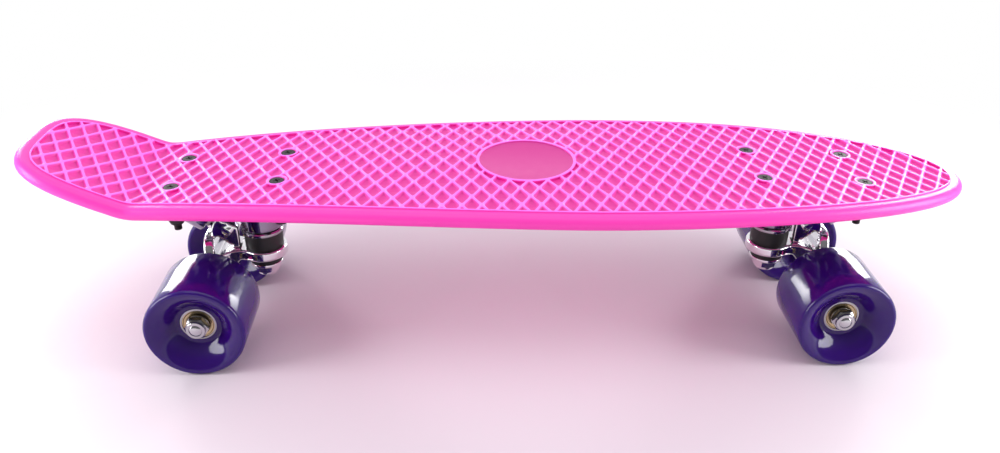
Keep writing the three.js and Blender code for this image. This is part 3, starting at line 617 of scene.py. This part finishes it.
def fused(name, parts, cuts):
    """A casting: closed parts joined with small fillets, and then machined."""
    body = flat_object(parts[0], name)
    carve(body, [flat_object(part, "part") for part in parts[1:]], "UNION")
    remesh = body.modifiers.new("casting", "REMESH")
    remesh.mode = "VOXEL"
    remesh.voxel_size = CASTING_GRAIN
    soften = body.modifiers.new("soften", "SMOOTH")
    soften.factor = 0.5
    soften.iterations = CASTING_PASSES
    apply_modifiers(body)
    carve(body, [flat_object(cut, "cut") for cut in cuts], "DIFFERENCE")
    return taken_back(body)


def baseplate():
    a, b, r = BOLT_X + PLATE_MARGIN, BOLT_Y + PLATE_MARGIN, PLATE_CORNER
    outline = []
    for corner, (sx, sy) in enumerate(((1, 1), (-1, 1), (-1, -1), (1, -1))):
        for i in range(7):
            angle = (corner + i / 6) * math.pi / 2
            outline.append((sx * (a - r) + r * math.cos(angle), sy * (b - r) + r * math.sin(angle)))
    plate = slab(outline, PLATE_FOOT, 0, 0.8)
    boss = turned([(0, BOSS_FOOT), (12.4, BOSS_FOOT), (13.0, -23.7), (14.6, -9), (17, -3), (0, -3)])
    boss = moved(boss, KINGPIN)
    pivot = moved(turned(rounded([(0, -9), (10.4, -9), (10.4, 5), (0, 5)], 1.5)), ALONG_STEER)
    web = slab(rectangle(-25, -4, 14, 4), -11, -2)
    cuts = [moved(cylinder(7.8, -20, 2.4), ALONG_STEER), moved(cylinder(KINGPIN_BORE, -40, 10), KINGPIN),
            moved(slab(hexagon(8.6), -6.6, 9), KINGPIN), slab(rectangle(-60, -40, 60, 40), 0, 20)]
    for sx in (-1, 1):
        for sy in (-1, 1):
            cuts.append(moved(cylinder(2.75, -20, 20, 32), Matrix.Translation((sx * BOLT_X, sy * BOLT_Y, 0))))
    return fused("baseplate", [plate, boss, pivot, web], cuts)


def common(body, limit):
    """What two closed shapes have in common."""
    return taken_back(carve(flat_object(body, "body"), [flat_object(limit, "limit")], "INTERSECT"))


def hanger():
    """A beam over the axle, a ring round the kingpin, an arm and a brace between them, a fin and a stem."""
    beam = moved(turned(rounded([(0, -HANGER_HALF), (7, -HANGER_HALF), (9.3, -24), (9.3, 24),
                                 (7, HANGER_HALF), (0, HANGER_HALF)], 1.2)), ALONG_AXLE)
    ring = turned(rounded([(0, RING_FOOT), (14.3, RING_FOOT), (14.3, RING_TOP), (0, RING_TOP)], 1.0), 96)
    ring = moved(ring, KINGPIN)

    def outline(shares, length):
        half = [(along * length, across * HANGER_HALF) for along, across in shares]
        return list(reversed(half + [(u, -v) for u, v in reversed(half)]))

    arm_shares = [(0, 0.66), (0.04, 0.60), (0.1, 0.52), (0.17, 0.44), (0.26, 0.375), (0.36, 0.315),
                  (0.44, 0.29), (0.52, 0.28), (0.6, 0.285), (0.7, 0.31), (0.8, 0.34)]
    fin_shares = [(0, 0.90), (0.1, 0.85), (0.2, 0.76), (0.3, 0.66), (0.42, 0.57), (0.55, 0.49), (0.7, 0.43),
                  (0.85, 0.36), (0.94, 0.29), (1, 0.2)]
    arm = moved(slab(outline(arm_shares, 30.3), -70, RING_TOP), Matrix.Translation((AXLE_X, 0, 0)))
    side = slab([(KINGPIN_X, RING_FOOT), (KINGPIN_X, RING_TOP), (-11.15, RING_TOP), (-25.1, AXLE_Z),
                 (AXLE_X, -63.8), (0.2, RING_FOOT)], -40, 40)
    arm = common(arm, moved(side, Matrix.Rotation(math.pi / 2, 4, "X")))
    fin = slab(outline(fin_shares, 31.12), -3.3, 3.3, 1.0)
    fin = moved(fin, AXLE @ Matrix.Rotation(-math.pi / 2 - math.radians(4.98), 4, "Y"))
    brace = slab([(1.7, RING_FOOT), (1.7, -39.4), (-0.1, RING_TOP), (-0.1, -23.5), (-12.7, -15.5),
                  (-16.6, -24.0), (-15.8, -28.4), (-12.2, -29.4), (-9.0, -33.0), (-5.0, -36.4),
                  (-1.0, -38.4)], -9, 9)
    brace = moved(brace, Matrix.Rotation(math.pi / 2, 4, "X"))
    brace = common(brace, slab([(2.5, -4.6), (2.5, 4.6), (-17.0, 8.4), (-17.0, -8.4)], -60, 0))
    stem = moved(turned([(0, -24), (7.2, -24), (7.2, -12.6), (6.4, -10.6), (5.2, -9), (5.2, -2.4), (4.4, -1),
                         (2.8, -0.2), (0, 0)]), ALONG_STEER)
    cuts = [moved(cylinder(6.8, -60, 0), KINGPIN), moved(cylinder(12.5, -39.4, BOSS_FOOT), KINGPIN),
            moved(cylinder(10.5, -60, -43.2), KINGPIN), moved(cylinder(4.1, -50, 50, 32), ALONG_AXLE)]
    return fused("hanger", [beam, ring, arm, fin, brace, stem], cuts)


def nut(across, height, collar, bore):
    """A lock nut that hangs from the origin, its collar down."""
    corner, flat, foot = across / 2 / math.cos(math.pi / 6), across / 2, -height + collar
    body = flat_object(slab(hexagon(corner), foot, 0), "nut")
    limit = turned([(0, -height), (flat - 0.2, foot), (corner, foot + 0.9), (corner, -0.6), (flat - 0.2, 0),
                    (0, 0)], 72)
    carve(body, [flat_object(limit, "limit")], "INTERSECT")
    outer = flat - 0.6
    ring = turned(rounded([(0, foot + 0.5), (outer, foot + 0.5), (outer, -height), (0, -height)], 0.6), 72)
    carve(body, [flat_object(ring, "collar")], "UNION")
    carve(body, [flat_object(cylinder(bore, -height - 1, 1, 40), "bore")], "DIFFERENCE")
    return taken_back(body)


def thread(radius, low, high, pitch, end):
    """A rod's outline with the ridges of a thread from low to high, and a domed end above."""
    points = [(radius, low)]
    z = low
    while z + pitch < high:
        points += [(radius, z + pitch * 0.25), (radius - pitch * 0.45, z + pitch * 0.6), (radius, z + pitch)]
        z += pitch
    return points + [(radius, high), (radius - 0.7, end - 0.5), (radius - 1.6, end - 0.1), (0, end)]


def add(bm, name, body, cad_nodes, skin, place, sharp=32):
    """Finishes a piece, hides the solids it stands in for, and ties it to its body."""
    piece = finish_piece(bm, name, sharp, place)
    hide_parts(*cad_nodes)
    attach(piece, body)
    piece.data.materials.append(skin)


def cushion(bm, name, looks, pin):
    """A bushing on the kingpin, with its place baked into its mesh and tied to no body."""
    piece = finish_piece(bm, f"{name}_cushion", 32, pin)
    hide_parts(f"{name}_bushing")
    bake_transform(piece)
    piece.data.materials.append(looks["bushing"])


def build_kingpin_stack(end, looks, pin):
    """The kingpin and what it holds, from the board down to its nut."""
    bolt = turned([(0, KINGPIN_HEAD), (KINGPIN_R, KINGPIN_HEAD)] +
                  upside_down(thread(KINGPIN_R, low=50, high=57.6, pitch=1.0, end=59.7)), 48)
    head = slab(hexagon(8.2), KINGPIN_HEAD, -0.3, 0.5)
    add(joined([bolt, head]), f"{end}_kingpin_bolt", "board", [f"{end}_kingpin"],
        looks["steel"], pin)
    bore = KINGPIN_BORE
    washer = turned([(bore, -24.5), (11.2, -24.5), (12.6, -24.9), (13.2, -25.6), (13.3, -26.6), (13.1, -27.3),
                     (12.7, -27.5), (12.4, -27.2), (12.3, -26.6), (11.8, -26.2), (bore, -26.2)], 96)
    add(washer, f"{end}_board_side_cup", "board", [f"{end}_board_side_washer"], looks["nut"], pin)
    low, high = UPPER_BUSHING
    upper = turned(rounded([(bore, low), (12.0, low), (12.1, -36), (12.2, -33), (12.1, -30), (12.0, high),
                            (bore, high), (bore, -30), (bore, -33), (bore, -36)], 0.8), 72)
    cushion(upper, f"{end}_board_side", looks, pin)
    low, high = LOWER_BUSHING
    lower = turned(rounded([(bore, low), (10.0, low), (10.3, -46), (10.2, high), (bore, high), (bore, -46)],
                           0.6), 72)
    cushion(lower, f"{end}_road_side", looks, pin)
    add(ring_piece(bore, 10.6, -51.2, -49.2, 0.5), f"{end}_road_side_cup", "board",
        [f"{end}_road_side_washer"], looks["chrome"], pin)
    add(nut(across=14.3, height=7.0, collar=1.8, bore=4.7), f"{end}_kingpin_lock_nut", "board",
        [f"{end}_kingpin_nut"], looks["chrome"], pin @ Matrix.Translation((0, 0, -51.5)))


def build_truck(end, looks):
    x, turn = TRUCKS[end]
    here = Matrix.Translation((x, 0, SEAT_Z)) @ Matrix.Rotation(turn, 4, "Z")
    swing = f"{end}_truck_hanger"
    add(baseplate(), f"{end}_baseplate_casting", "board", [f"{end}_baseplate"],
        looks["baseplate"], here, 50)
    add(hanger(), f"{end}_hanger_casting", swing, [f"{end}_hanger"], looks["chrome"], here, 50)
    cup = turned([(5.6, 0.2), (7.7, 0.2), (7.7, -8.6), (5.6, -8.6)], 48)
    add(cup, f"{end}_pivot_socket", "board", [f"{end}_pivot_cup"], looks["cup"],
        here @ ALONG_STEER)
    build_kingpin_stack(end, looks, here @ KINGPIN)
    half = thread(AXLE_R, low=60, high=68.2, pitch=0.9, end=69.3)
    rod = turned(upside_down(reversed(half)) + half, 48)
    add(rod, f"{end}_axle_rod", swing, [f"{end}_axle"], looks["steel"], here @ ALONG_AXLE)
    for side, sign in (("left", 1), ("right", -1)):
        if end == "front":
            sign = -sign
        middle = Matrix.Translation((AXLE_X, sign * WHEEL_MIDDLE_Y, AXLE_Z))
        hub = here @ middle @ Matrix.Rotation(-sign * math.pi / 2, 4, "X")
        build_wheel(f"{end}_{side}", hub, looks, swing)


def build_wheel(name, hub, looks, swing):
    """A wheel with its bearings, and the washer and nut that hold it, with the nut's end up."""
    body = f"{name}_wheel_hub"
    tread = [(WHEEL_R, TREAD_HALF), (WHEEL_R, 0.0), (WHEEL_R, -TREAD_HALF)]
    outline = WHEEL_HALF + tread + upside_down(reversed(WHEEL_HALF))
    add(turned(outline, 128), f"{name}_urethane", body, [f"{name}_wheel"],
        looks["urethane"], hub, 50)
    dish = [(5.95, 2.7), (6.7, 3.05), (8.7, 3.1), (9.1, 2.8), (9.7, 2.85)]
    for place, label in ((BEARING_MIDDLE, "outer"), (-BEARING_MIDDLE, "inner")):
        here = hub @ Matrix.Translation((0, 0, place))
        races = joined([ring_piece(9.75, 11, -BEARING_HALF, BEARING_HALF, 0.4),
                        ring_piece(4.02, 5.9, -BEARING_HALF, BEARING_HALF, 0.3)])
        add(races, f"{name}_{label}_races", body, [f"{name}_{label}_bearing"], looks["race"], here)
        shields = turned(dish + upside_down(reversed(dish)), 72)
        add(shields, f"{name}_{label}_shields", body, [f"{name}_{label}_bearing"],
            looks["shield"], here)
    add(ring_piece(4.1, 6.8, 12.6, 13.5, 0.2), f"{name}_thrust_washer", swing, [f"{name}_speed_washer"],
        looks["steel"], hub)
    nut_place = hub @ Matrix.Translation((0, 0, 13.8)) @ Matrix.Rotation(math.pi, 4, "X")
    add(nut(across=12.7, height=5.6, collar=1.6, bore=3.9), f"{name}_axle_lock_nut", swing,
        [f"{name}_axle_nut"], looks["nut"], nut_place)


def build_bolts(looks):
    """The deck's screws, with a cross slot in their heads, and their nuts under the baseplates."""
    for name, x, y in bolt_places():
        shaft = turned([(0, 0), (4.3, 0), (SCREW_HEAD_R, -0.25), (SCREW_R, -2.7)] +
                       upside_down(thread(SCREW_R, low=19.8, high=28.8, pitch=0.8, end=29.4)), 40)
        shaft = flat_object(shaft, "shaft")
        drive = []
        for turn in (0, math.pi / 2):
            slot_cut = slab(rectangle(-2.2, -0.45, 2.2, 0.45), -1.6, 1)
            drive.append(moved(slot_cut, Matrix.Rotation(turn + 0.5, 4, "Z")))
        carve(shaft, [flat_object(cut, "drive") for cut in drive], "DIFFERENCE")
        add(taken_back(shaft), f"{name}_bolt", "board", [f"{name}_deck_screw"],
            looks["black"], Matrix.Translation((x, y, deck_height(x, y) - SCREW_DROP)))
        add(nut(across=9.5, height=5.6, collar=1.6, bore=2.3), f"{name}_bolt_nut", "board",
            [f"{name}_lock_nut"], looks["black"], Matrix.Translation((x, y, SEAT_Z - 5.6)))


def noise(nodes, links, scale):
    coordinates = nodes.new("ShaderNodeTexCoord")
    pattern = nodes.new("ShaderNodeTexNoise")
    pattern.inputs["Scale"].default_value = scale
    pattern.inputs["Detail"].default_value = 3.0
    links.new(coordinates.outputs["Object"], pattern.inputs["Vector"])
    return pattern.outputs["Fac"]


def roughen(nodes, links, shader, scale, strength, distance):
    """A fine grain that only tilts the light."""
    relief = nodes.new("ShaderNodeBump")
    relief.inputs["Strength"].default_value = strength
    relief.inputs["Distance"].default_value = distance
    links.new(noise(nodes, links, scale), relief.inputs["Height"])
    links.new(relief.outputs["Normal"], shader.inputs["Normal"])


def finish(name, dark, light, rough, metallic=0.0, grain=400.0, bump=0.02):
    """A finish with mottled colour, uneven gloss and a fine surface grain."""
    made, nodes, links, shader = material(name)
    colour = between(nodes, links, noise(nodes, links, 60.0), dark, light)
    links.new(colour, shader.inputs["Base Color"])
    links.new(ranged(nodes, links, noise(nodes, links, 180.0), target=rough), shader.inputs["Roughness"])
    roughen(nodes, links, shader, grain, bump, 0.0005)
    shader.inputs["Metallic"].default_value = metallic
    return made


def wheel_urethane():
    """Deep indigo that lets a little light in."""
    made = finish("indigo_urethane", (0.020, 0.0018, 0.105), (0.027, 0.0025, 0.135), (0.07, 0.12),
                  grain=220.0)
    shader = made.node_tree.nodes["Principled BSDF"]
    shader.inputs["Subsurface Weight"].default_value = 0.4
    shader.inputs["Subsurface Radius"].default_value = (0.35, 0.12, 1.0)
    shader.inputs["Subsurface Scale"].default_value = 0.010
    shader.inputs["Specular IOR Level"].default_value = 0.38
    return made


def deck_plastic():
    """Pink plastic with painted light: a lighter, lilac painted highlight on the crests of the lattice and
    deeper painted shade on the floors of the cells and badge.
    """
    made, nodes, links, shader = material("pink_deck_plastic")

    def along(name, low, high):
        value = nodes.new("ShaderNodeAttribute")
        value.attribute_name = name
        return ranged(nodes, links, value.outputs["Fac"], (low, high))

    # Painted highlight: the crests are lighter and lilac, turning to the plain pink with depth.
    colour = between(nodes, links, along("depth", 0.1, 0.7), (0.94, 0.18, 0.88), (0.92, 0.040, 0.45))
    # Painted shade on the floors of the cells.
    colour = between(nodes, links, along("recess", 0.0, 1.0), colour, (0.80, 0.026, 0.37))
    # Painted shade, deeper still, on the floor of the badge.
    colour = between(nodes, links, along("badge_floor_shade", 0.0, 1.0), colour, (0.60, 0.022, 0.27))
    links.new(colour, shader.inputs["Base Color"])
    gloss = ranged(nodes, links, noise(nodes, links, 150.0), target=(0.34, 0.44))
    links.new(gloss, shader.inputs["Roughness"])
    roughen(nodes, links, shader, 900.0, 0.05, 0.0003)
    return made


def finishes():
    """Each finish: its darker and lighter colour, its range of roughness, and a metal's grain and relief."""
    metal = {
        "chrome": ("mirror_chrome", (0.78, 0.77, 0.80), (0.84, 0.83, 0.86), (0.07, 0.13), 150.0, 0.01),
        # The baseplates have a darker chrome than the hangers.
        "baseplate": ("dark_chrome", (0.30, 0.27, 0.36), (0.38, 0.35, 0.44), (0.08, 0.15), 150.0, 0.01),
        "steel": ("ground_steel", (0.46, 0.45, 0.48), (0.56, 0.55, 0.58), (0.16, 0.28), 700.0, 0.03),
        "race": ("bearing_race_steel", (0.30, 0.29, 0.33), (0.38, 0.37, 0.41), (0.12, 0.24), 700.0, 0.03),
        "nut": ("bright_zinc", (0.40, 0.39, 0.42), (0.50, 0.49, 0.52), (0.08, 0.18), 300.0, 0.02),
        "shield": ("gilt_bearing_shield", (0.40, 0.31, 0.17), (0.50, 0.40, 0.24), (0.18, 0.3), 400.0, 0.02),
    }
    made = {key: finish(name, dark, light, rough, 1.0, grain, bump)
            for key, (name, dark, light, rough, grain, bump) in metal.items()}
    made["deck"] = deck_plastic()
    made["urethane"] = wheel_urethane()
    made["black"] = finish("black_oxide", (0.012, 0.009, 0.011), (0.024, 0.018, 0.021), (0.45, 0.6), 0.3)
    made["bushing"] = finish("black_urethane", (0.005, 0.004, 0.005), (0.009, 0.007, 0.009), (0.45, 0.6))
    made["cup"] = finish("pale_nylon", (0.70, 0.66, 0.60), (0.78, 0.74, 0.68), (0.4, 0.55))
    return made


def main():
    look()
    stage()
    looks = finishes()
    deck = build_deck()
    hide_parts("deck")
    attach(deck, "board")
    deck.data.materials.append(looks["deck"])
    for end in TRUCKS:
        build_truck(end, looks)
    build_bolts(looks)

    bpy.context.scene.view_settings.view_transform = "Standard"


main()
